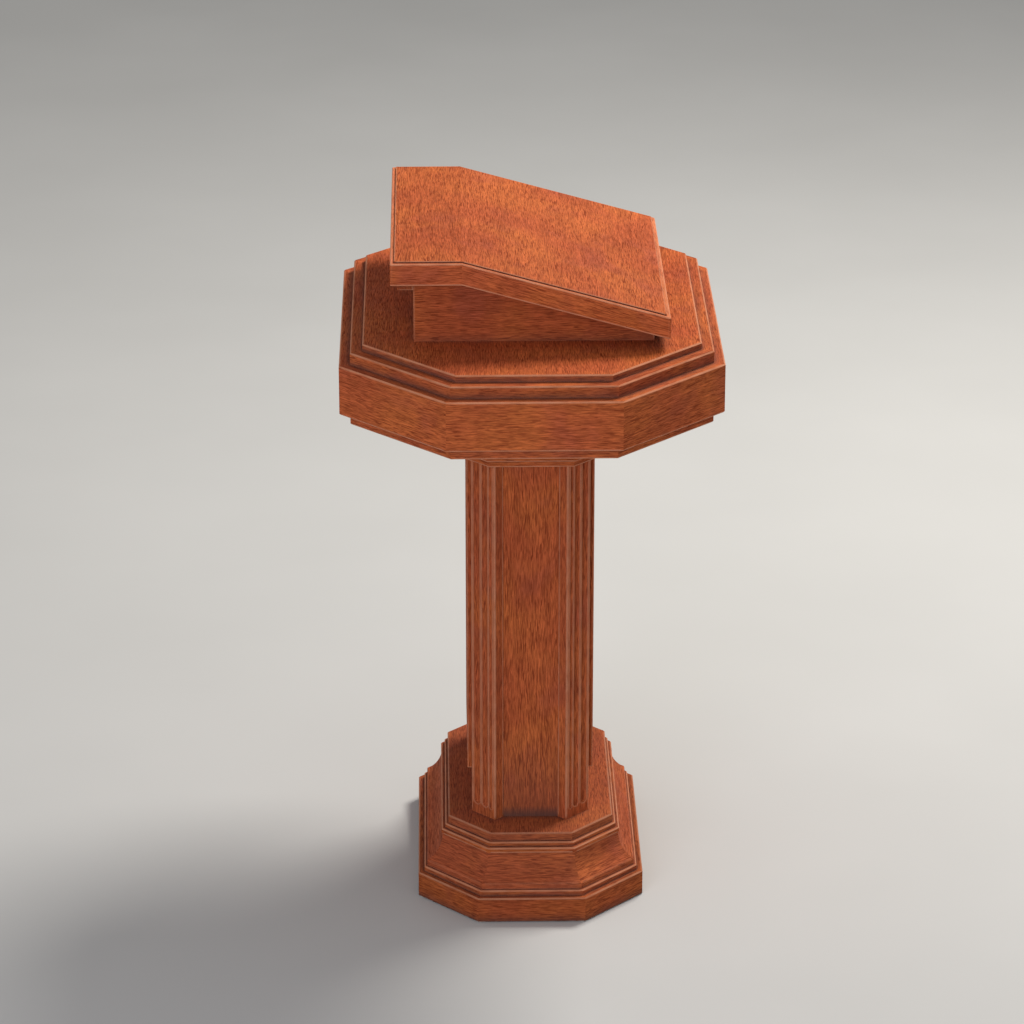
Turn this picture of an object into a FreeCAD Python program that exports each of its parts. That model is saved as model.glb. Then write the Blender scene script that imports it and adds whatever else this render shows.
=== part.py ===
"""Octagonal wooden lectern: stepped base, fluted column, table and a sloping book rest.

Frame: millimetres, origin at the middle of the footprint on the floor, +Z up. The reader
stands at +X and faces -X, so +X is the reader's side, -X is the front that the room sees,
-Y is the reader's left and +Y the reader's right.
"""
import FreeCAD, Part
import math
import os

os.makedirs("parts", exist_ok=True)

Vec = FreeCAD.Vector

# ---------------------------------------------------------------- driving dimensions (mm)
# An octagon is (half width in X, half width in Y, leg of its 45 degree corner cut).
PLINTH = (196.0, 298.0, 103.5)
COLUMN = (101.5, 193.5, 39.0)
CAP = (320.0, 425.0, 176.0)

ARRIS = 2.0             # broken edge on the boards and rails

# base, from the floor up
GLIDE_H = 2.0
GLIDE_R = 10.0
PLINTH_TOP = 46.0
PLINTH_RAIL = 24.0      # thickness of a plinth rail
PLINTH_BLOCK = 30.0     # how far a glue block stands in from the rails
DECK_INSET = 10.5
DECK_TOP = 56.0
COVE_INSET = 15.5
COVE_FOOT_TOP = 64.0    # upright foot of the cove moulding
COVE_NOSE = 4.0         # radius of the rounded nose above the foot
COVE_HEAD_INSET = 43.0
COVE_TOP = 114.0
COVE_BACK = 62.0        # inset of the moulding's back
FILLET_INSET = 41.0
FILLET_TOP = 122.5
FILLET_2_INSET = 47.5
STEP_BOARD_TOP = 131.0
BASE_TOP_INSET = 53.0
BASE_TOP = 146.0
BEARER_X = 78.0
BEARER_T = 34.0

# column
STRIP = 15.0            # width of a post's splayed strip on each flat side of the column
SPLAY_STEP = 1.5        # what is left of the strip's edge in front of the panel
POST_DEPTH = 36.0
PANEL_RECESS = 14.0
PANEL_T = 12.0
GROOVE = 8.0            # how far a panel's edge enters the post
POST_ARRIS = 1.2
FIELD_OUT = 7.5         # how far the raised field of the two broad panels stands out
FIELD_FOOT = 222.0
FLUTES = ((9.8, 7.0), (23.7, 13.8), (43.0, 15.4))   # place across the corner cut, width
FLUTE_DEPTH = 0.34      # of its width
FLUTE_FOOT_GAP = 17.0   # plain length of post below the flutes
FLUTE_TOP = 806.0
END_BLOCK_H = 40.0
END_BLOCK_GAP = 1.0     # clearance round the blocks inside the column

# capital
CAPITAL_FOOT = 813.5
CAPITAL_STEP = 825.5
CAPITAL_STEP_TOP = 842.0
CAPITAL_LOWER_OUT = 22.5
CAPITAL_UPPER_OUT = 29.0
CAPITAL_COVE_FOOT_OUT = 24.0
CAPITAL_COVE_HEAD_OUT = 72.0
CAPITAL_COVE_LIP = 8.0
CAPITAL_ARRIS = 1.5

# cap
UNDERBOARD_INSET = 18.0
UNDERBOARD_FOOT = 902.0
CAP_FOOT = 922.0
CAP_TOP = 1007.5
FASCIA_T = 30.0
FASCIA_BLOCK = 40.0
CAP_BEARER_X = 150.0
CAP_BEARER_T = 40.0
CAP_STEP_INSET = 18.5
CAP_STEP_TOP = 1028.0
TABLE_INSET = 39.0
TABLE_TOP = 1040.0

# book rest and desk board
SLOPE = math.radians(15.6)
DESK_HALF_Y = 267.0
DESK_HIGH_X = -233.5    # edge at the high end
DESK_KINK_X = -115.5    # where the flat shelf turns into the slope
DESK_LOW_X = 227.2      # plumb edge at the low end
DESK_TOP = 1190.0       # top of the desk body's flat part
DESK_T = 37.3           # measured straight down
DESK_RAIL = 34.0        # width of the desk body's edge rails
DESK_ARRIS = 1.4
RAISED_T = 3.0
RAISED_ARRIS = 1.0
RAISED_INSET = 6.4
BED_T = 11.0
BED_INSET = 11.0
REST_HALF_Y = 221.0
REST_HIGH_X = -196.0
REST_LOW_X = 203.0
REST_BOARD = 18.0

# fasteners
ROD_R = 5.0
ROD_Y = 95.0
ROD_FOOT = 30.0
ROD_TOP = 946.0
WASHER_R = 15.0
WASHER_T = 3.0
NUT_FLATS = 17.0
NUT_H = 8.4
SCREW_R = 2.4
SCREW_HEAD_R = 4.8
SCREW_HEAD_H = 3.2
SCREW_GRIP = 28.0       # how far a screw enters the second piece
SCREW_POINT_R = 0.4
BASE_SCREWS_Y = (-150.0, 0.0, 150.0)
REST_SCREWS_X = (-110.0, -20.0, 70.0)

SIDES = ("reader", "reader_right", "right", "front_right",
         "front", "front_left", "left", "reader_left")
FAR = 2000.0            # beyond everything
TOUCH = 1e-6


# ------------------------------------------------------------------------ plan geometry
def inset(octagon, distance):
    """The octagon whose sides all lie this far inside those of the given one."""
    half_x, half_y, leg = octagon
    return half_x - distance, half_y - distance, leg - distance * (2 - math.sqrt(2))


def corners(octagon):
    """Eight corners, anticlockwise; side i runs from corner i to corner i + 1."""
    half_x, half_y, leg = octagon
    return [(half_x, leg - half_y), (half_x, half_y - leg), (half_x - leg, half_y),
            (leg - half_x, half_y), (-half_x, half_y - leg), (-half_x, leg - half_y),
            (leg - half_x, -half_y), (half_x - leg, -half_y)]


def prism(points, foot, top):
    ring = [Vec(x, y, foot) for x, y in points]
    return Part.Face(Part.makePolygon(ring + ring[:1])).extrude(Vec(0, 0, top - foot))


def block(low, high):
    """A box from its lowest corner to its highest."""
    size = [b - a for a, b in zip(low, high)]
    return Part.makeBox(*size, Vec(*low))


def broken_rim(solid, level):
    """The solid with the edges at one level broken."""
    rim = [e for e in solid.Edges if all(abs(v.Z - level) < TOUCH for v in e.Vertexes)]
    return solid.makeChamfer(ARRIS, rim)


def board(octagon, foot, top):
    """An octagonal board with its top edge broken."""
    return broken_rim(prism(corners(octagon), foot, top), top)


def closed_face(points, to_space):
    """A face through (u, v) points; a pair of points is an arc through the first one."""
    start = here = to_space(*points[0])
    edges = []
    for item in points[1:]:
        if isinstance(item[0], tuple):
            through, end = (to_space(*p) for p in item)
            edges.append(Part.Arc(here, through, end).toShape())
        else:
            end = to_space(*item)
            edges.append(Part.makeLine(here, end))
        here = end
    edges.append(Part.makeLine(here, start))
    return Part.Face(Part.Wire(edges))


def mitred_length(octagon, side, profile, outer, inner):
    """One side's length of a moulding, mitred at both ends.

    The profile's points are (inset from the octagon, height); outer and inner are its
    smallest and largest inset.
    """
    ring = corners(octagon)
    start, end = Vec(*ring[side], 0), Vec(*ring[(side + 1) % 8], 0)
    along = (end - start).normalize()
    inward = Vec(-along.y, along.x, 0)
    origin = start - along * FAR / 2
    section = closed_face(profile, lambda u, z: origin + inward * u + Vec(0, 0, z))
    outside, inside = corners(inset(octagon, outer)), corners(inset(octagon, inner))
    after = (side + 1) % 8
    plan = [outside[side], outside[after], inside[after], inside[side]]
    return section.extrude(along * FAR).common(prism(plan, -1, FAR)).Solids[0]


def extent(profile):
    """Smallest and largest inset of a profile."""
    flat = [p for item in profile for p in (item if isinstance(item[0], tuple) else [item])]
    return min(u for u, _ in flat), max(u for u, _ in flat)


def ring_of_lengths(octagon, profile):
    return [mitred_length(octagon, side, profile, *extent(profile)) for side in range(8)]


def cove_middle(slanted, upright):
    """Middle point of a hollow arc that is upright where it ends at the second point.

    Both points are (inset, height); the upright end lies further in, and the arc's centre
    is level with it.
    """
    run, rise = upright[0] - slanted[0], upright[1] - slanted[1]
    radius = (run ** 2 + rise ** 2) / (2 * run)
    turn = math.asin(rise / radius) / 2
    return (upright[0] - radius * (1 - math.cos(turn)), upright[1] - radius * math.sin(turn))


# ---------------------------------------------------------------------------- fasteners
def screw(x, y, head_z, length):
    """Countersunk wood screw that points up, with its head's face at head_z."""
    head = Part.makeCone(SCREW_HEAD_R, SCREW_R, SCREW_HEAD_H, Vec(x, y, head_z))
    tip = SCREW_R * 2
    shank = Part.makeCylinder(SCREW_R, length - tip, Vec(x, y, head_z))
    point = Part.makeCone(SCREW_R, SCREW_POINT_R, tip, Vec(x, y, head_z + length - tip))
    return head.fuse(shank).fuse(point).removeSplitter()


def nut(y, foot):
    radius = NUT_FLATS / math.sqrt(3)
    turns = [math.radians(60 * i) for i in range(6)]
    ring = [(radius * math.cos(turn), y + radius * math.sin(turn)) for turn in turns]
    return prism(ring, foot, foot + NUT_H).cut(rod_bore(y, foot, foot + NUT_H))


def washer(y, foot):
    disc = Part.makeCylinder(WASHER_R, WASHER_T, Vec(0, y, foot))
    return disc.cut(rod_bore(y, foot, foot + WASHER_T))


def rod_bore(y, foot, top):
    return Part.makeCylinder(ROD_R, top - foot + 2, Vec(0, y, foot - 1))


def bored(solid):
    """The solid with both tie rods' holes through it."""
    for y in (-ROD_Y, ROD_Y):
        solid = solid.cut(rod_bore(y, 0, CAP_FOOT + 2))
    return solid


# --------------------------------------------------------------------------------- base
def base_pieces():
    plinth = [(0, GLIDE_H), (0, PLINTH_TOP - ARRIS), (ARRIS, PLINTH_TOP),
              (PLINTH_RAIL, PLINTH_TOP), (PLINTH_RAIL, GLIDE_H)]
    rails = ring_of_lengths(PLINTH, plinth)

    nose = COVE_NOSE * (1 - math.sqrt(0.5))
    hollow = (COVE_INSET + COVE_NOSE, COVE_FOOT_TOP + COVE_NOSE)
    head = (COVE_HEAD_INSET, COVE_TOP)
    cove = [(COVE_INSET, DECK_TOP), (COVE_INSET, COVE_FOOT_TOP),
            ((COVE_INSET + nose, hollow[1] - nose), hollow),
            (cove_middle(hollow, head), head), (COVE_BACK, COVE_TOP), (COVE_BACK, DECK_TOP)]
    coves = ring_of_lengths(PLINTH, cove)

    pieces = {}
    for name, lengths in (("plinth_rail", rails), ("base_cove", coves)):
        for side in (0, 2, 4, 6):
            pieces[f"{name}_{SIDES[side]}"] = [lengths[side]]
        pieces[f"{name}s_corner"] = lengths[1::2]

    pieces["plinth_glue_blocks"] = corner_blocks(PLINTH, PLINTH_RAIL, PLINTH_BLOCK,
                                                 2 * GLIDE_H, PLINTH_TOP)
    pieces["base_glides"] = [Part.makeCylinder(GLIDE_R, GLIDE_H, Vec(x, y, 0))
                             for x, y in corners(inset(PLINTH, PLINTH_RAIL / 2))]

    pieces["base_deck"] = [bored(board(inset(PLINTH, DECK_INSET), PLINTH_TOP, DECK_TOP))]
    lower = board(inset(PLINTH, FILLET_INSET), COVE_TOP, FILLET_TOP)
    upper = board(inset(PLINTH, FILLET_2_INSET), FILLET_TOP, STEP_BOARD_TOP)
    pieces["base_step_board"] = [bored(lower.fuse(upper).removeSplitter())]
    top = board(inset(PLINTH, BASE_TOP_INSET), STEP_BOARD_TOP, BASE_TOP)
    pieces["base_top_board"] = [bored(top)]

    end = PLINTH[1] - 2 * COVE_BACK + BEARER_T / 2
    pieces["base_bearers"] = bearers(BEARER_X, BEARER_T, end, DECK_TOP, COVE_TOP)
    screws = [screw(x, y, PLINTH_TOP, DECK_TOP - PLINTH_TOP + SCREW_GRIP)
              for x in (-BEARER_X, BEARER_X) for y in BASE_SCREWS_Y]
    fasten(screws, pieces, "base_deck", "base_bearers")
    pieces["base_screws"] = screws
    return pieces


def bearers(x, thickness, end, foot, top):
    """A pair of square-edged bearers along Y."""
    half = thickness / 2
    return [block((side * x - half, -end, foot), (side * x + half, end, top)) for side in (-1, 1)]


def corner_blocks(octagon, front, reach, foot, top):
    """A glue block in each inner corner of a ring of rails, as thick and wide as reach."""
    near, far = corners(inset(octagon, front)), corners(inset(octagon, front + reach))
    blocks = []
    for i in range(8):
        corner = Vec(*near[i], 0)
        before = (Vec(*near[i - 1], 0) - corner).normalize() * reach
        after = (Vec(*near[(i + 1) % 8], 0) - corner).normalize() * reach
        plan = [corner, corner + after, Vec(*far[i], 0), corner + before]
        blocks.append(prism([(p.x, p.y) for p in plan], foot, top))
    return blocks


def fasten(screws, pieces, *names):
    """Cut the screws' own shape out of the named pieces."""
    for name in names:
        pieces[name] = [solid.cut(screws) for solid in pieces[name]]


# ------------------------------------------------------------------------------- column
def column_pieces():
    half_x, half_y, leg = COLUMN
    front_x = half_x - leg          # where the front strip meets the corner cut
    side_y = half_y - leg
    a = POST_ARRIS
    slant = a * math.sqrt(0.5)
    outline = [(front_x - STRIP, half_y), (front_x - a, half_y),
               (front_x + slant, half_y - slant), (half_x - slant, side_y + slant),
               (half_x, side_y - a), (half_x, side_y - STRIP),
               (half_x - POST_DEPTH, side_y - STRIP),
               (front_x - STRIP, half_y - POST_DEPTH)]
    post = prism(outline, BASE_TOP, UNDERBOARD_FOOT)

    panel_in_y = half_y - PANEL_RECESS - PANEL_T
    panel_in_x = half_x - PANEL_RECESS - PANEL_T
    front_half = front_x - STRIP + GROOVE
    side_half = side_y - STRIP + GROOVE
    front_panel = block((-front_half, panel_in_y, BASE_TOP),
                        (front_half, panel_in_y + PANEL_T, UNDERBOARD_FOOT))
    side_panel = block((panel_in_x, -side_half, BASE_TOP),
                       (panel_in_x + PANEL_T, side_half, UNDERBOARD_FOOT))
    post = post.cut([front_panel, side_panel, splay(front_x, half_y, False),
                     splay(side_y, half_x, True)] + flutes(front_x, half_y, half_x, side_y))
    side_panel = side_panel.fuse(raised_field(panel_in_x + PANEL_T, half_x + FIELD_OUT,
                                              side_y - STRIP))

    pieces = {}
    around = Vec(0, 0, 0)
    for name, flip_x, flip_y in (("reader_right", 1, 1), ("reader_left", 1, -1),
                                 ("front_right", -1, 1), ("front_left", -1, -1)):
        solid = post
        if flip_x < 0:
            solid = solid.mirror(around, Vec(1, 0, 0))
        if flip_y < 0:
            solid = solid.mirror(around, Vec(0, 1, 0))
        pieces[f"column_post_{name}"] = [solid]
    pieces["column_panel_right"] = [front_panel]
    pieces["column_panel_left"] = [front_panel.mirror(around, Vec(0, 1, 0))]
    pieces["column_panel_reader"] = [side_panel]
    pieces["column_panel_front"] = [side_panel.mirror(around, Vec(1, 0, 0))]

    inner_x = half_x - POST_DEPTH - END_BLOCK_GAP
    inner_y = half_y - POST_DEPTH - END_BLOCK_GAP
    hollow = (inner_x, inner_y, inner_x - (front_x - STRIP) + END_BLOCK_GAP)
    pieces["column_end_blocks"] = [bored(prism(corners(hollow), z, z + END_BLOCK_H))
                                   for z in (BASE_TOP, UNDERBOARD_FOOT - END_BLOCK_H)]
    return pieces


def splay(edge, face, turned):
    """What a strip's splay leaves out, from a post's edge on the face down to the panel."""
    inner = edge - STRIP
    deep = face - PANEL_RECESS + SPLAY_STEP
    plan = [(edge - POST_ARRIS, face), (edge - POST_ARRIS, face + 1), (inner - 1, face + 1),
            (inner - 1, deep), (inner, deep)]
    if turned:
        plan = [(y, x) for x, y in reversed(plan)]
    return prism(plan, BASE_TOP, CAPITAL_FOOT)


def raised_field(back_x, front_x, half_y):
    """The field of a broad panel, between the posts, with its visible edges broken."""
    a = POST_ARRIS
    plan = [(back_x, -half_y), (front_x - a, -half_y), (front_x, a - half_y),
            (front_x, half_y - a), (front_x - a, half_y), (back_x, half_y)]
    return prism(plan, FIELD_FOOT, CAPITAL_FOOT)


def flutes(front_x, half_y, half_x, side_y):
    """Stopped flutes with round ends in the corner cut, to be cut away."""
    start = Vec(front_x, half_y, 0)
    along = Vec(half_x - front_x, side_y - half_y, 0).normalize()
    outward = Vec(-along.y, along.x, 0)
    cutters = []
    for place, width in FLUTES:
        depth = width * FLUTE_DEPTH
        radius = (width ** 2 / 4 + depth ** 2) / (2 * depth)
        axis = start + along * place + outward * (radius - depth)
        foot = BASE_TOP + FLUTE_FOOT_GAP + width / 2
        top = FLUTE_TOP - width / 2
        run = Part.makeCylinder(radius, top - foot, axis + Vec(0, 0, foot))
        ends = [Part.makeSphere(radius, axis + Vec(0, 0, z)) for z in (foot, top)]
        cutters.append(run.fuse(ends).removeSplitter())
    return cutters


# ------------------------------------------------------------------- capital and tie rods
def capital_pieces():
    """Mouldings round the column's head; insets are negative, outward from the column."""
    a = CAPITAL_ARRIS
    low, high = -CAPITAL_LOWER_OUT, -CAPITAL_UPPER_OUT
    steps = [(0, CAPITAL_FOOT), (low + a, CAPITAL_FOOT), (low, CAPITAL_FOOT + a),
             (low, CAPITAL_STEP), (high + a, CAPITAL_STEP), (high, CAPITAL_STEP + a),
             (high, CAPITAL_STEP_TOP), (0, CAPITAL_STEP_TOP)]
    lip = UNDERBOARD_FOOT - CAPITAL_COVE_LIP
    foot = (-CAPITAL_COVE_FOOT_OUT, CAPITAL_STEP_TOP)
    head = (-CAPITAL_COVE_HEAD_OUT, lip)
    cove = [(0, CAPITAL_STEP_TOP), foot, (cove_middle(head, foot), head),
            (head[0], UNDERBOARD_FOOT), (0, UNDERBOARD_FOOT)]
    return {"capital_step_mouldings": ring_of_lengths(COLUMN, steps),
            "capital_cove_mouldings": ring_of_lengths(COLUMN, cove)}


def rod_pieces():
    both = (-ROD_Y, ROD_Y)
    rods = [Part.makeCylinder(ROD_R, ROD_TOP - ROD_FOOT, Vec(0, y, ROD_FOOT)) for y in both]
    under = PLINTH_TOP - WASHER_T
    washers = [washer(y, z) for y in both for z in (under, CAP_FOOT)]
    nuts = [nut(y, z) for y in both for z in (under - NUT_H, CAP_FOOT + WASHER_T)]
    return {"tie_rods": rods, "tie_rod_washers": washers, "tie_rod_nuts": nuts}


# ---------------------------------------------------------------------------------- cap
def cap_pieces():
    fascia = [(ARRIS, CAP_FOOT), (0, CAP_FOOT + ARRIS), (0, CAP_TOP - ARRIS), (ARRIS, CAP_TOP),
              (FASCIA_T, CAP_TOP), (FASCIA_T, CAP_FOOT)]
    lengths = ring_of_lengths(CAP, fascia)
    pieces = {f"fascia_{SIDES[side]}": [lengths[side]] for side in (0, 2, 4, 6)}
    pieces["fascia_corners"] = lengths[1::2]
    pieces["fascia_glue_blocks"] = corner_blocks(CAP, FASCIA_T, FASCIA_BLOCK, CAP_FOOT, CAP_TOP)
    under = prism(corners(inset(CAP, UNDERBOARD_INSET)), UNDERBOARD_FOOT, CAP_FOOT)
    pieces["cap_underboard"] = [bored(broken_rim(under, UNDERBOARD_FOOT))]
    end = CAP[1] - 3 * FASCIA_T
    pieces["cap_bearers"] = bearers(CAP_BEARER_X, CAP_BEARER_T, end, CAP_FOOT, CAP_TOP)
    pieces["cap_step_board"] = [board(inset(CAP, CAP_STEP_INSET), CAP_TOP, CAP_STEP_TOP)]
    pieces["table_top"] = [board(inset(CAP, TABLE_INSET), CAP_STEP_TOP, TABLE_TOP)]
    return pieces


# -------------------------------------------------------------------- book rest and desk
def under_desk(x, depth):
    """Height of the surface that lies this far, straight down, below the desk's top."""
    return DESK_TOP - depth - max(0.0, x - DESK_KINK_X) * math.tan(SLOPE)


def desk_layer(shallow, deep, margin, arris):
    """A bent board between two depths, straight down, with its outer edges broken."""
    high_end, low_end = DESK_HIGH_X + margin, DESK_LOW_X - margin
    outline = [(x, under_desk(x, shallow)) for x in (high_end, DESK_KINK_X, low_end)]
    outline += [(x, under_desk(x, deep)) for x in (low_end, DESK_KINK_X, high_end)]
    half = DESK_HALF_Y - margin
    face = closed_face(outline, lambda x, z: Vec(x, -half, z))
    solid = face.extrude(Vec(0, 2 * half, 0))
    outer = [e for e in solid.Edges if abs(e.CenterOfMass.x - DESK_KINK_X) > 1]
    return solid.makeChamfer(arris, outer)


def split_at_kink(solid):
    """The flat part and the sloped part."""
    flat = block((-FAR, -FAR, 0), (DESK_KINK_X, FAR, FAR))
    return solid.common(flat).Solids[0], solid.cut(flat).Solids[0]


def desk_pieces():
    raised = desk_layer(-RAISED_T, 0, RAISED_INSET, RAISED_ARRIS)
    body = desk_layer(0, DESK_T, 0, DESK_ARRIS)
    bed = desk_layer(DESK_T, DESK_T + BED_T, BED_INSET, RAISED_ARRIS)
    between = REST_HALF_Y - REST_BOARD      # behind the overhang the bed fits the cheeks
    for low_y, high_y in ((-FAR, -between), (between, FAR)):
        bed = bed.cut(block((REST_HIGH_X, low_y, 0), (FAR, high_y, FAR)))
    pieces = {}
    for name, layer in (("raised", raised), ("bed", bed)):
        flat, slope = split_at_kink(layer)
        pieces[f"desk_{name}_flat"] = [flat]
        pieces[f"desk_{name}_slope"] = [slope]

    # the body's mitres, cut a little beyond its outline
    body_flat, body_slope = split_at_kink(body)
    outer_y, inner_y = DESK_HALF_Y + 1, DESK_HALF_Y - DESK_RAIL
    high, high_in = DESK_HIGH_X - 1, DESK_HIGH_X + DESK_RAIL
    low, low_in = DESK_LOW_X + 1, DESK_LOW_X - DESK_RAIL

    def cut(body_part, *plan):
        return [body_part.common(prism(plan, 0, FAR)).Solids[0]]

    for name, s in (("left", -1), ("right", 1)):
        for part, body_part, end, end_in in (("flat", body_flat, high, high_in),
                                             ("slope", body_slope, low, low_in)):
            pieces[f"desk_edge_{part}_{name}"] = cut(
                body_part, (end, s * outer_y), (DESK_KINK_X, s * outer_y),
                (DESK_KINK_X, s * inner_y), (end_in, s * inner_y))
    for part, end_name, body_part, end, end_in in (
            ("flat", "high", body_flat, high, high_in),
            ("slope", "low", body_slope, low, low_in)):
        pieces[f"desk_edge_{end_name}"] = cut(body_part, (end, -outer_y), (end_in, -inner_y),
                                              (end_in, inner_y), (end, outer_y))
        pieces[f"desk_core_{part}"] = cut(
            body_part, (end_in, -inner_y), (DESK_KINK_X, -inner_y),
            (DESK_KINK_X, inner_y), (end_in, inner_y))
    return pieces


def rest_slice(low_x, high_x, low_y, high_y, depth):
    """A piece of the closed wedge between the table and this far below the desk's top."""
    outline = [(low_x, TABLE_TOP), (high_x, TABLE_TOP), (high_x, under_desk(high_x, depth))]
    if low_x < DESK_KINK_X < high_x:
        outline.append((DESK_KINK_X, under_desk(DESK_KINK_X, depth)))
    outline.append((low_x, under_desk(low_x, depth)))
    face = closed_face(outline, lambda x, z: Vec(x, low_y, z))
    solid = face.extrude(Vec(0, high_y - low_y, 0))
    corner = [e for e in solid.Edges
              if all(abs(v.X - REST_HIGH_X) < TOUCH and abs(abs(v.Y) - REST_HALF_Y) < TOUCH
                     for v in e.Vertexes)]
    return solid.makeChamfer(DESK_ARRIS, corner) if corner else solid


def rest_pieces(cap):
    inner_y = REST_HALF_Y - REST_BOARD
    high_in, low_in = REST_HIGH_X + REST_BOARD, REST_LOW_X - REST_BOARD
    half_rib = REST_BOARD / 2
    under_bed = DESK_T + BED_T
    pieces = {}
    for name, low_x, high_x, low_y, high_y, depth in (
            ("cheek_left", REST_HIGH_X, REST_LOW_X, -REST_HALF_Y, -inner_y, DESK_T),
            ("cheek_right", REST_HIGH_X, REST_LOW_X, inner_y, REST_HALF_Y, DESK_T),
            ("front_board", REST_HIGH_X, high_in, -inner_y, inner_y, under_bed),
            ("low_board", low_in, REST_LOW_X, -inner_y, inner_y, under_bed),
            ("rib", high_in, low_in, -half_rib, half_rib, under_bed)):
        pieces[f"rest_{name}"] = [rest_slice(low_x, high_x, low_y, high_y, depth)]
    middle = REST_HALF_Y - half_rib
    length = TABLE_TOP - CAP_TOP + SCREW_GRIP
    screws = [screw(x, y, CAP_TOP, length) for y in (-middle, middle) for x in REST_SCREWS_X]
    fasten(screws, pieces, "rest_cheek_left", "rest_cheek_right")
    fasten(screws, cap, "cap_step_board", "table_top")
    pieces["rest_screws"] = screws
    return pieces


# -------------------------------------------------------------------------------- export
def save(name, solids):
    shape = solids[0] if len(solids) == 1 else Part.makeCompound(solids)
    for solid in solids:
        if not solid.isValid() or len(solid.Solids) != 1 or solid.Volume <= 0:
            print("CHECK", name, solid.isValid(), len(solid.Solids), solid.Volume)
    shape.exportStep(f"parts/{name}.step")
    box = shape.BoundBox
    print(f"{name:26s} {len(solids):2d} solids  x {box.XMin:7.1f} {box.XMax:7.1f}  "
          f"y {box.YMin:7.1f} {box.YMax:7.1f}  z {box.ZMin:7.1f} {box.ZMax:7.1f}")


cap = cap_pieces()
rest = rest_pieces(cap)
nodes = {}
for group in (base_pieces(), column_pieces(), capital_pieces(), rod_pieces(), cap, rest,
              desk_pieces()):
    nodes.update(group)
for name, solids in nodes.items():
    save(name, solids)
print(len(nodes), "nodes")
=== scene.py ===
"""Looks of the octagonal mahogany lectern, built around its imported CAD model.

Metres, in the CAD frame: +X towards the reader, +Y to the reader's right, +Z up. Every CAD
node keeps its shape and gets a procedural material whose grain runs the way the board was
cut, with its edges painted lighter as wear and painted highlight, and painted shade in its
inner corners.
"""
import math
import random

import bpy
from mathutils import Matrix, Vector


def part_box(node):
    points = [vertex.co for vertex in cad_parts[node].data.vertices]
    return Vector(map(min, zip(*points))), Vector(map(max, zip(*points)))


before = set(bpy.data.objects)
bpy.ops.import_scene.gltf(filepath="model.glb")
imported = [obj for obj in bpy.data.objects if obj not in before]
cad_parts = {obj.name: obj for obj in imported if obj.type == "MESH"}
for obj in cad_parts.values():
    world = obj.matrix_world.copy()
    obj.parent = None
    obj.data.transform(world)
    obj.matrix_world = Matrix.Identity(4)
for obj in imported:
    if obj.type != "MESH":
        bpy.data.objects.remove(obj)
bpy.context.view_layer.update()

# ------------------------------------------------------------------------ driving values
# camera
LENS = 148.7                      # mm, on Blender's 36 mm sensor
VIEW_DISTANCE = 7.3565
VIEW_ELEVATION = math.radians(21.951)
VIEW_TURN = math.radians(1.077)   # the camera stands a little towards the front of the desk
VIEW_TARGET = Vector((-0.0289, 0.0, 0.6457))

# shapes that the nodes' boxes don't give
COLUMN_CORNER = 0.039             # leg of the column's corner cut
STRIP_DEPTH = 0.014               # how far a post's splayed strip lies back at the panel
FLUTES = (0.163, 0.806)           # heights between which the posts are fluted
MOULDING_EDGES = (0.8135, 0.8255)  # lower edges of the capital's two steps
SLOPE = math.radians(15.6)
LIPPING = 0.024                   # width of the mitred lipping round a step board
FLOOR_HALF = 20.0

# reach of the wear and painted highlight, in from an edge: where it is full, and where gone
POST_BEND = (0.0009, 0.0017)      # along a post's corners
STRIP_EDGE = (0.0012, 0.0026)     # along the strips' edges beside the panels
DESK_RIM = (0.0014, 0.0022)       # along the top of the desk's edge
DESK_UNDERSIDE = (0.00176, 0.00286)  # along its underside
FLUTE_FLOOR = (0.0006, 0.0016)    # down from a post's face into its flutes
LAND_START = (0.0006, 0.0012)     # the lands' wear and painted highlight begin this far in from the bend
LAND_FADE = 0.006                 # length over which it begins at the flutes' ends
RUBBED_HIGHLIT_EDGE = 0.0022              # width of the lighter line, wear and painted highlight, under each step of the capital
WORN_HIGHLIGHT_REACH = 0.0026               # how far any other lighter arris, wear and painted highlight, reaches
JOINT_REACH = 0.004               # no wear or painted highlight this close to a glued joint

# reach of the painted shade
SHADE_REACH = 0.030               # how far the painted shade reaches out of an inner corner
CREASE_SHADE_REACH = 0.007              # how far the finest dark line of painted shade does
PANEL_FOOT_SHADE = 0.034               # height of the painted shade at the foot of a recessed panel
PANEL_SHADE = 0.200               # how far up the panel a fainter painted shade reaches

SPECULAR = 0.02                   # of the old, dull lacquer
AO_SAMPLES = 6

# grain of the mitred lengths: each is shifted along the fibres, as if cut elsewhere
BROADSIDE_SHIFT = 2.3
CORNER_SHIFTS = (3.1, 5.3)
SAME_SIDE = 1e-6                  # two distances closer than this are the same side's

# linear colours
AMBER = (0.475, 0.120, 0.035)
RED = (0.410, 0.090, 0.033)
PLUM = (0.300, 0.068, 0.041)
PORE = (0.190, 0.035, 0.012)
# lighter edges: wear and painted highlight
WORN_HIGHLIGHT = (0.560, 0.235, 0.132)
# painted shade in corners, creases, recesses and under overhangs
SHADE_COLOUR = (0.100, 0.052, 0.044)

# tones: what a kind of piece's colour is multiplied by
# painted shade: the plinth is darker, as little light reaches it low down
PLINTH_SHADED_TONE = 0.76
COVE_TONE = 1.0
BASE_TONE = 0.92
COLUMN_TONES = {"panel": 1.02, "post": 1.04, "capital": 0.95}
CAP_TONE = 1.0
FASCIA_TONE = 1.06
REST_TONE = 1.0
# painted shade: the desk's bed, under its overhang, is darker
DESK_TONES = {"edge": 1.16, "raised": 1.02, "bed": 0.75}

# painted shade over the whole of the hollow cove
COVE_SHADE = 0.15
NO_JOINT = 1.0                    # From Joint of a piece that shows no glued joint
HALF_ROOT = math.sqrt(0.5)        # turns X + Y into a distance square to a corner cut

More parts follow.
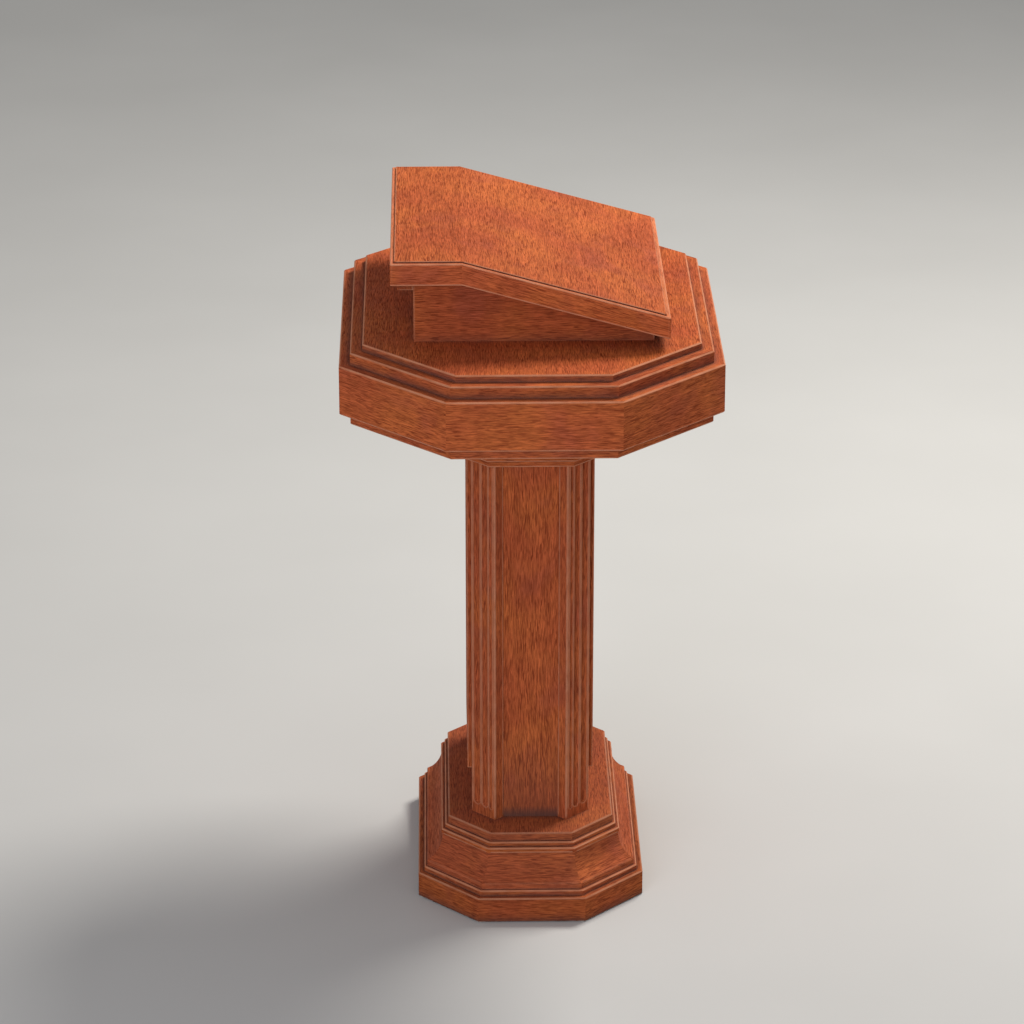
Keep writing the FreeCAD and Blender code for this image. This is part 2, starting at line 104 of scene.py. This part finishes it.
# pieces cut one after another from the same boards
FAMILIES = ("plinth_rail", "base_cove", "fascia", "capital", "column", "rest", "desk_edge",
            "desk_raised", "desk_bed")
SIDES = ("reader", "right", "front", "left")
CORNERS = ("reader_right", "reader_left", "front_right", "front_left")


# --------------------------------------------------------------------- node-tree helpers
class Graph:
    """Adds nodes to a tree. A value given to an input is a socket to link or a constant."""

    def __init__(self, tree):
        self.tree = tree

    def node(self, kind, values=(), **settings):
        made = self.tree.nodes.new(kind)
        for name, setting in settings.items():
            setattr(made, name, setting)
        for key, value in dict(values).items():
            self.feed(made.inputs[key], value)
        return made

    def feed(self, socket, value):
        if isinstance(value, bpy.types.NodeSocket):
            self.tree.links.new(value, socket)
        elif socket.type == "RGBA":
            socket.default_value = (*value, 1.0)
        else:
            socket.default_value = value

    def math(self, operation, *values):
        made = self.node("ShaderNodeMath", enumerate(values), operation=operation)
        return made.outputs[0]

    def vector(self, operation, *values):
        made = self.node("ShaderNodeVectorMath", enumerate(values), operation=operation)
        return made.outputs[0]

    def split(self, vector):
        return self.node("ShaderNodeSeparateXYZ", {0: vector}).outputs[:]

    def join(self, x, y, z):
        return self.node("ShaderNodeCombineXYZ", {0: x, 1: y, 2: z}).outputs[0]

    def step(self, value, low, high, smallest=0.0, largest=1.0):
        """Rises smoothly from smallest to largest as value goes from low to high."""
        made = self.node("ShaderNodeMapRange", interpolation_type="SMOOTHSTEP")
        for key, given in enumerate((value, low, high, smallest, largest)):
            self.feed(made.inputs[key], given)
        return made.outputs[0]

    def fade(self, distance, reach, most=1.0):
        """From most, as far as the first distance in reach, down to 0 at the second."""
        full, gone = reach
        return self.step(distance, gone, full, 0.0, most)

    def noise(self, vector, stretch, detail=2.0, roughness=0.5):
        """Noise whose features repeat about stretch times a metre along each axis."""
        scaled = self.vector("MULTIPLY", vector, stretch)
        values = {"Vector": scaled, "Scale": 1.0, "Detail": detail, "Roughness": roughness}
        return self.node("ShaderNodeTexNoise", values).outputs["Fac"]

    def occlusion(self, reach, **settings):
        """How open the surface is within reach: 1 in the open, less in a corner."""
        return self.node("ShaderNodeAmbientOcclusion", {"Distance": reach},
                         samples=AO_SAMPLES, **settings).outputs["AO"]

    def mix(self, factor, first, second):
        """The first colour where factor is 0, the second where it is 1."""
        made = self.node("ShaderNodeMix", data_type="RGBA")
        self.feed(made.inputs["Factor"], factor)
        for key, value in zip((6, 7), (first, second)):
            self.feed(made.inputs[key], value)
        return made.outputs[2]

    def switch(self, chosen, first, second):
        """The first vector where chosen is 0, the second where it is 1."""
        made = self.node("ShaderNodeMix", data_type="VECTOR")
        self.feed(made.inputs["Factor"], chosen)
        for key, value in zip((4, 5), (first, second)):
            self.feed(made.inputs[key], value)
        return made.outputs[1]


def new_group(name, inputs, outputs):
    """A node group with named (type, name) sockets: its graph, input node and output node."""
    tree = bpy.data.node_groups.new(name, "ShaderNodeTree")
    for direction, sockets in (("INPUT", inputs), ("OUTPUT", outputs)):
        for kind, label in sockets:
            tree.interface.new_socket(label, in_out=direction, socket_type=f"NodeSocket{kind}")
    graph = Graph(tree)
    return graph, graph.node("NodeGroupInput"), graph.node("NodeGroupOutput")


def position(g):
    return g.node("ShaderNodeTexCoord").outputs["Object"]


# ------------------------------------------------------------------------------- grain
def build_mitred_grain():
    """Grain coordinates that follow the nearest side of an octagon, mitred at its corners."""
    g, given, result = new_group(
        "mitred grain",
        [("Float", "Half X"), ("Float", "Half Y"), ("Float", "Half Diagonal")],
        [("Vector", "Grain"), ("Float", "Inset"), ("Float", "From Mitre")])
    x, y, z = g.split(position(g))
    far_x, far_y = g.math("ABSOLUTE", x), g.math("ABSOLUTE", y)
    sum_xy = g.math("MULTIPLY", g.math("ADD", far_x, far_y), HALF_ROOT)
    out_x = g.math("SUBTRACT", far_x, given.outputs["Half X"])
    out_y = g.math("SUBTRACT", far_y, given.outputs["Half Y"])
    out_d = g.math("SUBTRACT", sum_xy, given.outputs["Half Diagonal"])
    larger, smaller = g.math("MAXIMUM", out_x, out_y), g.math("MINIMUM", out_x, out_y)
    out = g.math("MAXIMUM", larger, out_d)
    second = g.math("MAXIMUM", g.math("MINIMUM", larger, out_d), smaller)
    on_x = g.math("COMPARE", out_x, out, SAME_SIDE)
    on_d = g.math("COMPARE", out_d, out, SAME_SIDE)

    side_x, side_y = g.math("SIGN", x), g.math("SIGN", y)
    along_d = g.math("SUBTRACT", g.math("MULTIPLY", x, side_y), g.math("MULTIPLY", y, side_x))
    along_d = g.math("MULTIPLY", along_d, HALF_ROOT)
    shift_x, shift_y = CORNER_SHIFTS
    shift_d = g.math("MULTIPLY_ADD", side_x, shift_x, g.math("MULTIPLY", side_y, shift_y))

    def grain(along, shift):
        return g.join(g.math("ADD", along, shift), out, z)

    broadside = grain(x, g.math("MULTIPLY", side_y, BROADSIDE_SHIFT))
    chosen = g.switch(on_x, broadside, grain(y, side_x))
    chosen = g.switch(on_d, chosen, grain(along_d, shift_d))
    g.feed(result.inputs["Grain"], chosen)
    g.feed(result.inputs["Inset"], g.math("MULTIPLY", out, -1.0))
    g.feed(result.inputs["From Mitre"], g.math("SUBTRACT", out, second))
    return g.tree


def build_mahogany():
    """Colour, roughness and relief of dyed and lacquered mahogany.

    Place is a position, for the broad changes of colour that run on across joints. Grain is
    the same with its first coordinate along the fibres. From Joint is the distance to the
    nearest glued joint that shows. The other inputs say how strongly painted shade darkens
    the inner corners, where the edges are painted lighter as wear and painted highlight, and
    where the piece itself is darkened by painted shade.
    """
    g, given, result = new_group(
        "mahogany",
        [("Vector", "Place"), ("Vector", "Grain"), ("Float", "From Joint"),
         ("Float", "Corner Shade"), ("Float", "Rubbed And Highlit"), ("Float", "Painted Shade")],
        [("Color", "Color"), ("Float", "Roughness"), ("Float", "Height")])
    place, grain = given.outputs["Place"], given.outputs["Grain"]
    sway = g.math("SUBTRACT", g.noise(grain, (3.0, 9.0, 9.0), 1.0), 0.5)
    grain = g.vector("ADD", grain, g.join(0.0, g.math("MULTIPLY", sway, 0.020), 0.0))

    broad = g.step(g.noise(place, (7.0, 7.0, 7.0), 3.0), 0.34, 0.66)
    blotch = g.step(g.noise(place, (13.0, 11.0, 12.0), 2.0), 0.50, 0.74, 0.0, 0.45)
    ribbon = g.step(g.noise(grain, (9.0, 110.0, 110.0), 4.0, 0.6), 0.25, 0.75, 0.84, 1.16)
    fibre = g.step(g.noise(grain, (48.0, 620.0, 620.0), 3.0, 0.65), 0.30, 0.70, 0.74, 1.22)
    colour = g.mix(broad, RED, AMBER)
    colour = g.mix(blotch, colour, PLUM)
    for value in (ribbon, fibre):
        colour = g.vector("MULTIPLY", colour, g.join(value, value, value))

    patch = g.step(g.noise(grain, (12.0, 30.0, 30.0), 1.0), 0.30, 0.65, 0.70, 0.94)
    dash = g.step(g.noise(grain, (42.0, 680.0, 680.0), 1.0, 0.4), 0.56, 0.65)
    hair = g.step(g.noise(grain, (56.0, 950.0, 950.0), 1.0, 0.4), 0.54, 0.68, 0.0, 0.8)
    pores = g.math("MULTIPLY", g.math("MAXIMUM", dash, hair), patch)
    colour = g.mix(pores, colour, PORE)

    near = g.occlusion(CREASE_SHADE_REACH)
    lip = g.occlusion(WORN_HIGHLIGHT_REACH, inside=True, only_local=True)
    patchy = g.step(g.noise(place, (30.0, 30.0, 30.0), 3.0), 0.30, 0.62, 0.55, 0.90)
    # lighter convex edges, and where the piece asks for it: wear and painted highlight
    worn_and_highlit = g.math("MULTIPLY", g.step(lip, 0.98, 0.74),
                  g.step(given.outputs["From Joint"], JOINT_REACH * 0.6, JOINT_REACH))
    worn_and_highlit = g.math("MAXIMUM", worn_and_highlit, given.outputs["Rubbed And Highlit"])
    worn_and_highlit = g.math("MULTIPLY", g.math("MULTIPLY", worn_and_highlit, g.step(near, 0.70, 0.92)), patchy)
    colour = g.mix(worn_and_highlit, colour, WORN_HIGHLIGHT)

    # painted shade: darker near inner corners and creases, and where the piece asks for it
    corner = g.occlusion(SHADE_REACH)
    painted_shade = g.math("MAXIMUM", g.step(corner, 0.86, 0.34, 0.0, 0.95),
                   g.step(near, 0.86, 0.40, 0.0, 0.85))
    painted_shade = g.math("MULTIPLY", painted_shade, given.outputs["Corner Shade"])
    painted_shade = g.math("MAXIMUM", painted_shade, given.outputs["Painted Shade"])
    colour = g.mix(painted_shade, colour, SHADE_COLOUR)

    rough = g.math("MULTIPLY_ADD", broad, -0.05, 0.55)
    rough = g.math("MULTIPLY_ADD", pores, 0.20, rough)
    height = g.math("MULTIPLY_ADD", pores, -1.0, g.math("MULTIPLY", fibre, 0.35))
    g.feed(result.inputs["Color"], colour)
    g.feed(result.inputs["Roughness"], rough)
    g.feed(result.inputs["Height"], height)
    return g.tree


MITRED_GRAIN = build_mitred_grain()
MAHOGANY = build_mahogany()


def along_axis(g, axis):
    """Grain coordinates of a straight board: axis is x, y, z, or those down the slope."""
    place = position(g)
    if axis.startswith("slope"):
        turn = g.node("ShaderNodeVectorRotate", {"Vector": place, "Angle": -SLOPE},
                      rotation_type="Y_AXIS")
        place = turn.outputs[0]
    x, y, z = g.split(place)
    order = {"x": (x, z, y), "y": (y, x, z), "z": (z, x, y)}
    return g.join(*order[axis[-1]])


def levelness(g):
    """0 on a wall, 1 on a level board."""
    normal = g.node("ShaderNodeNewGeometry").outputs["Normal"]
    return g.math("ABSOLUTE", g.split(normal)[2])


def arris(g):
    """1 on the sloping faces where a board's edge is broken."""
    level = levelness(g)
    return g.math("MULTIPLY", g.step(level, 0.30, 0.40), g.step(level, 0.94, 0.90))


def octagon_ring(g, octagon):
    """The mitred grain round an octagon, given as octagon_of and ring_of do."""
    ring = g.node("ShaderNodeGroup", node_tree=MITRED_GRAIN)
    for socket, value in zip(ring.inputs, octagon):
        socket.default_value = value
    return ring


# Each of these makes a function that adds nodes to a graph and returns what the mahogany
# group takes: a dictionary of its inputs, without Place.
def straight(axis):
    """A board with its grain along one axis."""
    # edges lighter as wear and painted highlight, and some painted shade in the corners
    return lambda g: {"Grain": along_axis(g, axis), "Rubbed And Highlit": arris(g), "Corner Shade": 0.4}


def mitred(octagon, rims, shaded=0.0):
    """Mitred lengths round an octagon; if rims, edges lighter as wear and painted highlight."""
    def inputs(g):
        ring = octagon_ring(g, octagon)
        # edges lighter as wear and painted highlight if rims; painted shade over all as asked
        return {"Grain": ring.outputs["Grain"], "From Joint": ring.outputs["From Mitre"],
                "Rubbed And Highlit": arris(g) if rims else 0.0, "Painted Shade": shaded}
    return inputs


def lipped_board(octagon, lipping, top_shade=1.0, shaded=0.0):
    """Grain along Y with mitred lipping: on the edge faces, and as wide as given on top."""
    def inputs(g):
        ring = octagon_ring(g, octagon)
        edged = g.math("MAXIMUM", g.math("LESS_THAN", levelness(g), 0.5),
                       g.math("LESS_THAN", ring.outputs["Inset"], lipping))
        # painted shade in the corners, weaker on the tops, and over the whole board as asked
        return {"Grain": g.switch(edged, along_axis(g, "y"), ring.outputs["Grain"]),
                "From Joint": ring.outputs["From Mitre"], "Rubbed And Highlit": arris(g),
                "Corner Shade": g.step(levelness(g), 0.5, 0.9, 1.0, top_shade), "Painted Shade": shaded}
    return inputs


def desk_board(axis, edges=1.0, rim=0.0, riser_shade=0.0, painted_shade=0.5):
    """Joints at the desk's kink and at the mitred corners of its edge, a lighter underside edge.

    Edges is how far the piece's edges are painted lighter as wear and painted highlight, rim
    how far the margin of its top is, and riser how dark its upright edges are made, as painted
    shade.
    """
    low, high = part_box("desk_edge_flat_left")
    kink, top, thick = high.x, high.z, high.z - low.z
    high_end, low_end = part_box("desk_edge_high")[0].x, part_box("desk_edge_low")[1].x
    half_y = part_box("desk_edge_flat_right")[1].y

    def inputs(g):
        x, y, z = g.split(position(g))
        drop = g.math("MULTIPLY", g.math("MAXIMUM", g.math("SUBTRACT", x, kink), 0.0),
                      math.tan(SLOPE))
        down = g.math("SUBTRACT", g.math("SUBTRACT", top, z), drop)
        underside = g.math("ABSOLUTE", g.math("SUBTRACT", down, thick))
        from_end = g.math("MINIMUM", g.math("SUBTRACT", x, high_end),
                          g.math("SUBTRACT", low_end, x))
        from_side = g.math("SUBTRACT", half_y, g.math("ABSOLUTE", y))
        from_mitre = g.math("ABSOLUTE", g.math("SUBTRACT", from_end, from_side))
        from_kink = g.math("ABSOLUTE", g.math("SUBTRACT", x, kink))
        # edges lighter as wear and painted highlight; painted shade in corners and on upright
        # faces
        rubbed_and_highlit = g.math("MAXIMUM", arris(g), g.fade(underside, DESK_UNDERSIDE))
        rubbed_and_highlit = g.math("MAXIMUM", g.math("MULTIPLY", rubbed_and_highlit, edges),
                        g.fade(down, DESK_RIM, rim))
        return {"Grain": along_axis(g, axis), "Rubbed And Highlit": rubbed_and_highlit, "Corner Shade": painted_shade,
                "Painted Shade": g.step(levelness(g), 0.5, 0.3, 0.0, riser_shade),
                "From Joint": g.math("MINIMUM", from_mitre, from_kink)}
    return inputs


def stepped_moulding(octagon):
    """The capital's steps, lighter along their lower edges: wear and painted highlight."""
    def inputs(g):
        _, _, z = g.split(position(g))
        from_edges = [g.math("ABSOLUTE", g.math("SUBTRACT", z, edge)) for edge in MOULDING_EDGES]
        lines = [g.math("LESS_THAN", distance, RUBBED_HIGHLIT_EDGE) for distance in from_edges]
        return {**mitred(octagon, False)(g), "Rubbed And Highlit": g.math("MAXIMUM", *lines)}
    return inputs


def fluted(octagon):
    """A corner post, lighter at its corners, flute lands and inner edges: wear and painted
    highlight.
    """
    half_x, half_y, half_diagonal = octagon
    low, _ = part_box("column_post_reader_right")

    def inputs(g):
        x, y, z = g.split(position(g))
        x, y = g.math("ABSOLUTE", x), g.math("ABSOLUTE", y)
        depth = g.math("MULTIPLY_ADD", g.math("ADD", x, y), -HALF_ROOT, half_diagonal)
        from_x, from_y = g.math("SUBTRACT", half_x, x), g.math("SUBTRACT", half_y, y)
        from_side = g.math("MINIMUM", from_x, from_y)
        bend = g.fade(from_side, POST_BEND, 0.8)
        land = g.math("MULTIPLY", g.step(from_side, *LAND_START), g.fade(depth, FLUTE_FLOOR))
        foot, head = FLUTES
        fluted_part = g.math("MULTIPLY", g.step(z, foot, foot + LAND_FADE),
                             g.step(z, head, head - LAND_FADE))
        land = g.math("MULTIPLY", g.math("MULTIPLY", land, fluted_part), 0.50)
        edges = [g.math("MULTIPLY", g.fade(g.math("SUBTRACT", across, edge), STRIP_EDGE),
                        g.math("LESS_THAN", back, STRIP_DEPTH))
                 for across, edge, back in ((x, low.x, from_y), (y, low.y, from_x))]
        inner = g.math("MULTIPLY", g.math("MAXIMUM", *edges), 0.3)
        # painted shade: a little in the corners and a little all over
        return {"Grain": along_axis(g, "z"), "Corner Shade": 0.15, "Painted Shade": 0.08,
                "Rubbed And Highlit": g.math("MAXIMUM", g.math("MAXIMUM", land, bend), inner)}
    return inputs


def panel(shaded):
    """A column panel. One that lies back between the posts is darker at its foot: painted shade.
    """
    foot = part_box("column_panel_left")[0].z

    def inputs(g):
        foot_shade = 0.0
        if shaded:
            _, _, z = g.split(position(g))
            # painted shade: dark at the foot, fainter further up
            foot_shade = g.math("MAXIMUM", g.step(z, foot, foot + PANEL_FOOT_SHADE, 0.85, 0.0),
                           g.step(z, foot, foot + PANEL_SHADE, 0.32, 0.0))
        return {"Grain": along_axis(g, "z"), "Corner Shade": 0.0, "Painted Shade": foot_shade}
    return inputs


def octagon_of(node, ring):
    """(half X, half Y, half diagonal) of a board parallel to a ring of the same corners."""
    low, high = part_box(node)
    shrink = ring[0] - high.x
    return high.x, high.y, ring[2] - shrink


def ring_of(name):
    """The octagon of a ring of mitred rails, from its reader's and right rails."""
    half_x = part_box(f"{name}_reader")[1].x
    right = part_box(f"{name}_right")[1]
    return half_x, right.y, (right.x + right.y) * HALF_ROOT


# ---------------------------------------------------------------------------- materials
def new_material(name):
    made = bpy.data.materials.new(name)
    made.use_nodes = True
    g = Graph(made.node_tree)
    shader = made.node_tree.nodes["Principled BSDF"]
    return made, g, shader


def relief(g, shader, height, strength, distance):
    """Roughens the surface by height, distance metres high where height is 1."""
    bump = g.node("ShaderNodeBump", {"Height": height, "Strength": strength,
                                     "Distance": distance})
    g.feed(shader.inputs["Normal"], bump.outputs[0])


def wood(name, inputs, offset, shade):
    """Mahogany for one node, cut from the given part of the tree."""
    made, g, shader = new_material(name)
    figure = g.node("ShaderNodeGroup", node_tree=MAHOGANY)
    # painted shade in the corners in full, unless a piece asks for less
    values = {"From Joint": NO_JOINT, "Corner Shade": 1.0, "Place": position(g), **inputs(g)}
    for key in ("Place", "Grain"):
        values[key] = g.vector("ADD", values[key], offset)
    for key, value in values.items():
        g.feed(figure.inputs[key], value)
    colour = g.vector("MULTIPLY", figure.outputs["Color"], (shade, shade, shade))
    g.feed(shader.inputs["Base Color"], colour)
    g.feed(shader.inputs["Roughness"], figure.outputs["Roughness"])
    relief(g, shader, figure.outputs["Height"], 0.5, 0.0003)
    shader.inputs["Specular IOR Level"].default_value = SPECULAR
    return made


def softwood():
    """Planed pale softwood of the hidden blocks and bearers."""
    made, g, shader = new_material("softwood")
    grain = along_axis(g, "y")
    rings = g.step(g.noise(grain, (2.0, 60.0, 60.0), 4.0, 0.6), 0.35, 0.65)
    fibre = g.step(g.noise(grain, (25.0, 500.0, 500.0), 2.0), 0.3, 0.7, 0.9, 1.08)
    colour = g.mix(rings, (0.62, 0.43, 0.24), (0.47, 0.27, 0.12))
    colour = g.vector("MULTIPLY", colour, g.join(fibre, fibre, fibre))
    g.feed(shader.inputs["Base Color"], colour)
    g.feed(shader.inputs["Roughness"], g.math("MULTIPLY_ADD", rings, 0.1, 0.6))
    relief(g, shader, fibre, 0.4, 0.0003)
    return made


def steel():
    """Dull zinc-plated steel."""
    made, g, shader = new_material("zinc_steel")
    place = position(g)
    spangle = g.noise(place, (220.0, 220.0, 220.0), 3.0)
    brushed = g.noise(place, (900.0, 900.0, 60.0), 2.0)
    g.feed(shader.inputs["Base Color"], g.mix(spangle, (0.42, 0.43, 0.45), (0.62, 0.62, 0.60)))
    g.feed(shader.inputs["Roughness"], g.step(brushed, 0.3, 0.7, 0.28, 0.46))
    relief(g, shader, brushed, 0.2, 0.0001)
    shader.inputs["Metallic"].default_value = 1.0
    return made


def nylon():
    """Grubby off-white nylon of the glides."""
    made, g, shader = new_material("glide_nylon")
    place = position(g)
    scuffs = g.step(g.noise(place, (160.0, 160.0, 160.0), 4.0), 0.4, 0.7)
    g.feed(shader.inputs["Base Color"], g.mix(scuffs, (0.52, 0.49, 0.43), (0.30, 0.27, 0.23)))
    g.feed(shader.inputs["Roughness"], g.math("MULTIPLY_ADD", scuffs, 0.2, 0.5))
    relief(g, shader, scuffs, 0.3, 0.0002)
    return made


def floor_paint():
    """Plain pale studio floor, very slightly uneven."""
    made, g, shader = new_material("studio_floor")
    place = position(g)
    cloud = g.noise(place, (1.5, 1.5, 1.5), 3.0)
    g.feed(shader.inputs["Base Color"], g.mix(cloud, (0.48, 0.48, 0.47), (0.54, 0.54, 0.53)))
    shader.inputs["Roughness"].default_value = 0.9
    shader.inputs["Specular IOR Level"].default_value = 0.1
    return made


# --------------------------------------------------------------------- finishes per node
def wood_plan():
    """{node: (material inputs, tone)} for every mahogany node."""
    plinth, cap = ring_of("plinth_rail"), ring_of("fascia")
    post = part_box("column_post_reader_right")[1]
    column = (post.x, post.y, (post.x + post.y - COLUMN_CORNER) * HALF_ROOT)

    plan = {}
    for side in SIDES:
        plan[f"column_panel_{side}"] = (panel(side in ("left", "right")),
                                        COLUMN_TONES["panel"])
    for corner in CORNERS:
        plan[f"column_post_{corner}"] = (fluted(column), COLUMN_TONES["post"])
    plan["capital_step_mouldings"] = (stepped_moulding(column), COLUMN_TONES["capital"])
    plan["capital_cove_mouldings"] = (mitred(column, False), COLUMN_TONES["capital"])
    for stem, corners, octagon, rims, shaded, tone in (
            ("plinth_rail", "plinth_rails_corner", plinth, True, 0.0, PLINTH_SHADED_TONE),
            ("base_cove", "base_coves_corner", plinth, False, COVE_SHADE, COVE_TONE),
            ("fascia", "fascia_corners", cap, True, 0.0, FASCIA_TONE)):
        for name in [f"{stem}_{side}" for side in SIDES] + [corners]:
            plan[name] = (mitred(octagon, rims, shaded), tone)

    for name, ring, lipping, tone, top_shade, shaded in (
            ("base_deck", plinth, LIPPING, BASE_TONE, 1.0, 0.0),
            ("base_step_board", plinth, LIPPING, BASE_TONE, 1.0, 0.0),
            # painted shade over the base's top, which lies under the cap
            ("base_top_board", plinth, 0.0, BASE_TONE, 0.8, 0.25),
            ("cap_underboard", cap, LIPPING, CAP_TONE, 1.0, 0.0),
            ("cap_step_board", cap, LIPPING, CAP_TONE, 1.0, 0.0),
            ("table_top", cap, 0.0, FASCIA_TONE, 0.4, 0.0)):
        board = lipped_board(octagon_of(name, ring), lipping, top_shade, shaded)
        plan[name] = (board, tone)

    for name, axis in (("cheek_left", "x"), ("cheek_right", "x"), ("front_board", "y"),
                       ("low_board", "y")):
        plan[f"rest_{name}"] = (straight(axis), REST_TONE)
    for name, axis in (("flat_left", "x"), ("flat_right", "x"), ("slope_left", "slope x"),
                       ("slope_right", "slope x"), ("high", "y"), ("low", "slope y")):
        plan[f"desk_edge_{name}"] = (desk_board(axis, rim=0.45), DESK_TONES["edge"])
    for name, axis in (("flat", "y"), ("slope", "slope y")):
        # painted shade on the raised panels' upright edges
        plan[f"desk_raised_{name}"] = (desk_board(axis, edges=0.25, riser_shade=0.8),
                                       DESK_TONES["raised"])
        plan[f"desk_bed_{name}"] = (desk_board(axis, edges=0.4, painted_shade=1.0),
                                    DESK_TONES["bed"])
    return plan


def finish_nodes():
    """Gives every node its material; pieces of one family share a part of the tree."""
    rng = random.Random(31)
    plan = wood_plan()
    cuts = {}
    plain = {"steel": steel(), "glide": nylon(), "inner_wood": softwood()}
    for name in sorted(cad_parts):
        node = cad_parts[name]
        if name in plan:
            inputs, tone = plan[name]
            family = next((given for given in FAMILIES if name.startswith(given)), name)
            if family not in cuts:
                offset = Vector([rng.uniform(-40.0, 40.0) for _ in range(3)])
                cuts[family] = (offset, rng.uniform(0.97, 1.03))
            offset, variation = cuts[family]
            finish = wood(f"mahogany_{name}", inputs, offset, tone * variation)
        elif name.startswith("tie_rod") or name.endswith("screws"):
            finish = plain["steel"]
        elif name == "base_glides":
            finish = plain["glide"]
        else:
            finish = plain["inner_wood"]
        node.data.materials.clear()
        node.data.materials.append(finish)


# --------------------------------------------------------------------------------- stage
def build_floor():
    mesh = bpy.data.meshes.new("studio_floor")
    ring = [(-1, -1), (1, -1), (1, 1), (-1, 1)]
    corners = [(x * FLOOR_HALF, y * FLOOR_HALF, 0.0) for x, y in ring]
    mesh.from_pydata(corners, [], [(0, 1, 2, 3)])
    mesh.materials.append(floor_paint())
    floor = bpy.data.objects.new("studio_floor", mesh)
    bpy.context.scene.collection.objects.link(floor)


def area_light(name, place, target, size, watts, colour):
    lamp = bpy.data.lights.new(name, "AREA")
    lamp.shape = "DISK"
    lamp.size = size
    lamp.energy = watts
    lamp.color = colour
    holder = bpy.data.objects.new(name, lamp)
    holder.location = place
    holder.rotation_euler = (Vector(target) - Vector(place)).to_track_quat("-Z", "Y").to_euler()
    bpy.context.scene.collection.objects.link(holder)


def build_lights():
    world = bpy.data.worlds.new("studio")
    bpy.context.scene.world = world
    world.use_nodes = True
    sky = world.node_tree.nodes["Background"]
    sky.inputs["Color"].default_value = (1.0, 0.99, 0.98, 1.0)
    sky.inputs["Strength"].default_value = 0.42
    middle = (0.0, 0.0, 0.8)
    warm, cool = (1.0, 0.96, 0.90), (0.99, 1.0, 1.13)
    area_light("key", (2.0, 2.0, 4.2), middle, size=1.8, watts=240.0, colour=warm)
    area_light("fill", (-1.8, -4.4, 1.8), middle, size=2.6, watts=71.0, colour=cool)


def build_camera():
    lens = bpy.data.cameras.new("camera")
    lens.lens = LENS
    holder = bpy.data.objects.new("camera", lens)
    flat = math.cos(VIEW_ELEVATION)
    back = Vector((-math.sin(VIEW_TURN) * flat, -math.cos(VIEW_TURN) * flat,
                   math.sin(VIEW_ELEVATION)))
    holder.location = VIEW_TARGET + back * VIEW_DISTANCE
    holder.rotation_euler = (math.pi / 2 - VIEW_ELEVATION, 0.0, -VIEW_TURN)
    lens.clip_end = 100.0
    bpy.context.scene.collection.objects.link(holder)
    bpy.context.scene.camera = holder


build_camera()
build_floor()
build_lights()
finish_nodes()
bpy.context.scene.view_settings.view_transform = "Standard"
